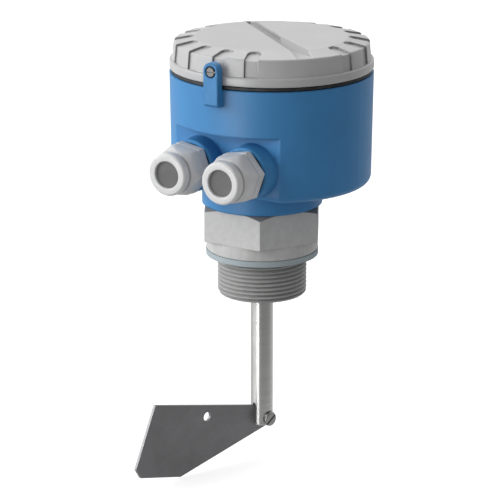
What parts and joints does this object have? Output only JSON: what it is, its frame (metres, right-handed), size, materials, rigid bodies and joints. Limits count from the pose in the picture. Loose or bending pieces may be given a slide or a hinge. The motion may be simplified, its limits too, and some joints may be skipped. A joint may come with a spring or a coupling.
{
  "type": "rotary paddle level switch",
  "caption": "Point level switch for bulk solids: blue pot housing with screw cover and two cable glands, threaded vessel plug, driven shaft and folding paddle.",
  "frame": {"origin": "on the shaft axis at the last full turn of the vessel thread, 0.3 mm under the flat gasket", "axes": "+Z along the shaft axis out of the vessel, towards the cover; -Y towards the cable glands"},
  "size_m": [0.1078, 0.1536, 0.2294],
  "materials": {
    "blue_plastic": "moulded thermoplastic, fine satin grain",
    "grey_plastic": "moulded thermoplastic, satin",
    "grey_nylon": "glass filled, faintly mottled",
    "black_rubber": "smooth elastomer",
    "fibre_gasket": "pressed fibre sheet, light bluish grey",
    "stainless": "ground and polished stainless steel",
    "stainless_sheet": "rolled stainless sheet, dull",
    "bearing_steel": "ground steel",
    "spring_steel": "drawn spring steel",
    "aluminium": "turned",
    "zinc_sheet": "zinc plated sheet steel",
    "zinc_screws": "zinc plated",
    "zinc_casting": "die cast, bead blasted",
    "motor_can": "drawn and nickel plated",
    "white_acetal": "natural acetal",
    "brass": "turned brass",
    "board_laminate": "green laminate",
    "terminal_plastic": "green moulded housing",
    "switch_plastic": "black moulding",
    "red_plastic": "red button",
    "gland_plastic": "light grey nylon",
    "dark_plug": "dark grey plug"
  },
  "bodies": {
    "base": {"housing": "blue_plastic", "process_connection": "grey_nylon", "flat_gasket": "fibre_gasket", "neck_seal": "black_rubber", "ring_nut": "grey_nylon", "lower_bearing_outer": "bearing_steel", "upper_bearing_outer": "bearing_steel", "shaft_lip_seal": "black_rubber", "bearing_circlip": "spring_steel", "chassis_plate": "zinc_sheet", "chassis_screws": "zinc_screws", "swing_bush": "white_acetal", "left_switch_case": "switch_plastic", "right_switch_case": "switch_plastic", "switch_screws": "zinc_screws", "board_standoffs": "brass", "terminal_board": "board_laminate", "board_screws": "zinc_screws", "terminal_block": "terminal_plastic", "terminal_screws": "zinc_screws", "earth_terminal": "brass", "left_gland_washer": "black_rubber", "left_gland_body": "gland_plastic", "left_gland_nut": "gland_plastic", "left_gland_insert": "black_rubber", "left_gland_plug": "dark_plug", "right_gland_washer": "black_rubber", "right_gland_body": "gland_plastic", "right_gland_nut": "gland_plastic", "right_gland_insert": "black_rubber", "right_gland_plug": "dark_plug"},
    "rotor": {"shaft": "stainless", "lower_bearing_inner": "bearing_steel", "upper_bearing_inner": "bearing_steel", "shaft_circlips": "spring_steel", "coupling": "aluminium", "coupling_pin": "bearing_steel", "gearbox_output_shaft": "bearing_steel", "paddle_screw": "stainless"},
    "paddle_blade": {"paddle": "stainless_sheet"},
    "motor_carrier": {"carrier_plate": "zinc_sheet", "return_spring": "spring_steel", "gearbox": "zinc_casting", "gearbox_screws": "zinc_screws", "motor": "motor_can"},
    "right_lever": {"right_switch_lever": "spring_steel"},
    "left_lever": {"left_switch_lever": "spring_steel"},
    "right_plunger": {"right_switch_plunger": "red_plastic"},
    "left_plunger": {"left_switch_plunger": "red_plastic"},
    "seal_ring": {"cover_seal": "black_rubber"},
    "cover": {"cover": "grey_plastic"},
    "lock_screw": {"cover_lock_screw": "stainless"}
  },
  "joints": [
    {"name": "rotor_spin", "type": "hinge", "parent": "base", "child": "rotor", "pos_m": [0, 0, 0], "axis": [0, 0, 1], "continuous": true},
    {"name": "paddle_fold", "type": "hinge", "parent": "rotor", "child": "paddle_blade", "pos_m": [0, 0, -0.0934], "axis": [0.9728, -0.2317, 0], "range_deg": [0, 104.25]},
    {"name": "motor_swing", "type": "hinge", "parent": "base", "child": "motor_carrier", "pos_m": [0, 0, 0.0653], "axis": [0, 0, 1], "range_deg": [0, 10], "stiffness_Nm_per_rad": 0.5, "springref_deg": -20.05},
    {"name": "right_lever_press", "type": "hinge", "parent": "base", "child": "right_lever", "pos_m": [0.00549, 0.029, 0.061], "axis": [0, 0, 1], "range_deg": [0, 8]},
    {"name": "left_lever_press", "type": "hinge", "parent": "base", "child": "left_lever", "pos_m": [-0.00549, 0.029, 0.061], "axis": [0, 0, 1], "range_deg": [0, 8]},
    {"name": "right_plunger_press", "type": "slide", "parent": "base", "child": "right_plunger", "axis": [-1, 0, 0], "range_m": [0, 0.0005]},
    {"name": "left_plunger_press", "type": "slide", "parent": "base", "child": "left_plunger", "axis": [-1, 0, 0], "range_m": [0, 0.0005]},
    {"name": "cover_lift", "type": "slide", "parent": "base", "child": "seal_ring", "axis": [0, 0, 1], "range_m": [0, 0.08]},
    {"name": "cover_turn", "type": "hinge", "parent": "seal_ring", "child": "cover", "pos_m": [0, 0.0093, 0.1003], "axis": [0, 0, 1], "range_deg": [0, 360]},
    {"name": "lock_screw_withdraw", "type": "slide", "parent": "base", "child": "lock_screw", "axis": [0, -1, 0], "range_m": [0, 0.005]}
  ],
  "couplings": [
    {"joint": "right_lever_press", "follows": "motor_swing", "ratio": 0.8},
    {"joint": "left_lever_press", "follows": "motor_swing", "ratio": 0.8},
    {"joint": "right_plunger_press", "follows": "motor_swing", "m_per_rad": 0.0028647},
    {"joint": "left_plunger_press", "follows": "motor_swing", "m_per_rad": 0.0028647}
  ]
}
